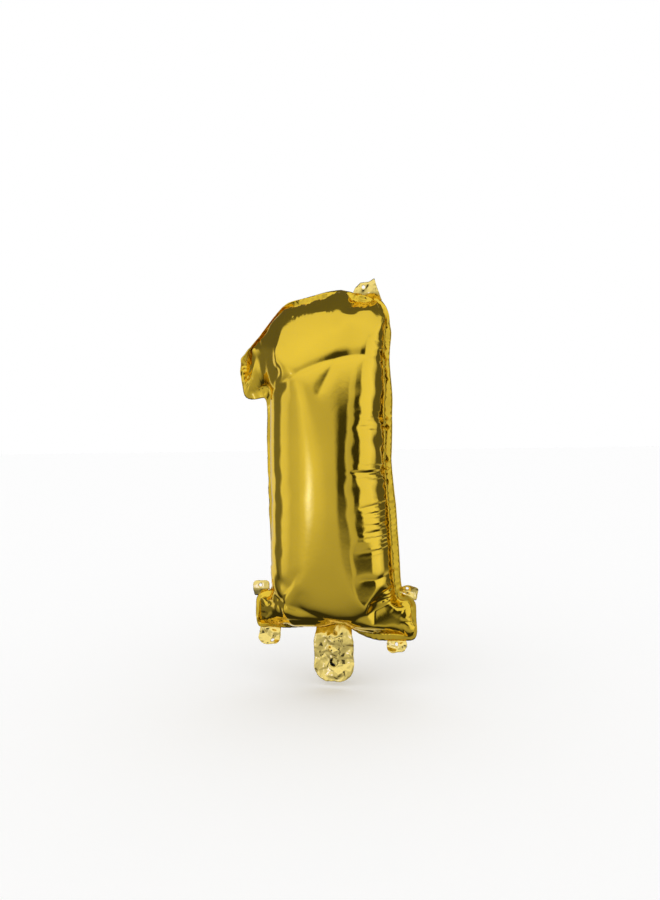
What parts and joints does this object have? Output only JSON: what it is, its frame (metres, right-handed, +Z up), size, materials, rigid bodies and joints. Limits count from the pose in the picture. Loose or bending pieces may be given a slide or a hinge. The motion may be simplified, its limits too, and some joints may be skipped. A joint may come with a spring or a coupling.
{
  "type": "foil number balloon",
  "caption": "Air-filled foil balloon shaped as the numeral one, with a welded rim, punched hanging tabs and a tail that holds a flat self-sealing valve.",
  "frame": {"origin": "centre of the punched hole in the top tab, in the plane of the weld", "axes": "+Z up along the numeral's height, -Y towards the front, +X to the right as seen from the front"},
  "size_m": [0.1595, 0.093, 0.3609],
  "materials": {
    "gold_foil_front": "mirror-bright gold metallised film",
    "gold_foil_back": "mirror-bright gold metallised film",
    "gold_foil_tail": "crinkled gold metallised film",
    "gold_foil_tab": "crinkled gold metallised film, two plies fused",
    "valve_film": "clear soft film"
  },
  "bodies": {
    "envelope": {"front_panel": "gold_foil_front", "back_panel": "gold_foil_back", "valve_throat_front_ply": "valve_film", "valve_throat_back_ply": "valve_film"},
    "tail": {"tail_front_ply": "gold_foil_tail", "tail_back_ply": "gold_foil_tail", "valve_inlet_front_ply": "valve_film", "valve_inlet_back_ply": "valve_film"},
    "valve_tongue_front": {"valve_tongue_front_ply": "valve_film"},
    "valve_tongue_back": {"valve_tongue_back_ply": "valve_film"},
    "tab_top": {"tab_top": "gold_foil_tab"},
    "tab_shoulder_left": {"tab_shoulder_left": "gold_foil_tab"},
    "tab_shoulder_right": {"tab_shoulder_right": "gold_foil_tab"},
    "tab_foot_left": {"tab_foot_left": "gold_foil_tab"},
    "tab_foot_right": {"tab_foot_right": "gold_foil_tab"}
  },
  "joints": [
    {"name": "tab_top_fold", "type": "hinge", "parent": "envelope", "child": "tab_top", "pos_m": [0, 0, -0.0045], "axis": [1, 0, 0], "range_deg": [-90, 90], "stiffness_Nm_per_rad": 0.00002},
    {"name": "tab_shoulder_left_fold", "type": "hinge", "parent": "envelope", "child": "tab_shoulder_left", "pos_m": [-0.102, 0, -0.2731], "axis": [1, 0, 0], "range_deg": [-90, 90], "stiffness_Nm_per_rad": 0.00002},
    {"name": "tab_shoulder_right_fold", "type": "hinge", "parent": "envelope", "child": "tab_shoulder_right", "pos_m": [0.034, 0, -0.2731], "axis": [1, 0, 0], "range_deg": [-90, 90], "stiffness_Nm_per_rad": 0.00002},
    {"name": "tab_foot_left_fold", "type": "hinge", "parent": "envelope", "child": "tab_foot_left", "pos_m": [-0.0915, 0, -0.3161], "axis": [1, 0, 0], "range_deg": [-90, 90], "stiffness_Nm_per_rad": 0.00002},
    {"name": "tab_foot_right_fold", "type": "hinge", "parent": "envelope", "child": "tab_foot_right", "pos_m": [0.0235, 0, -0.3161], "axis": [1, 0, 0], "range_deg": [-90, 90], "stiffness_Nm_per_rad": 0.00002},
    {"name": "tail_fold", "type": "hinge", "parent": "envelope", "child": "tail", "pos_m": [-0.034, 0, -0.31635], "axis": [1, 0, 0], "range_deg": [-90, 90], "stiffness_Nm_per_rad": 0.00002},
    {"name": "valve_front_opening", "type": "hinge", "parent": "envelope", "child": "valve_tongue_front", "pos_m": [-0.034, 0, -0.30655], "axis": [1, 0, 0], "range_deg": [0, 8], "stiffness_Nm_per_rad": 0.00005},
    {"name": "valve_back_opening", "type": "hinge", "parent": "envelope", "child": "valve_tongue_back", "pos_m": [-0.034, 0, -0.30655], "axis": [1, 0, 0], "range_deg": [-8, 0], "stiffness_Nm_per_rad": 0.00005}
  ],
  "couplings": [
    {"joint": "valve_back_opening", "follows": "valve_front_opening", "ratio": -1}
  ]
}
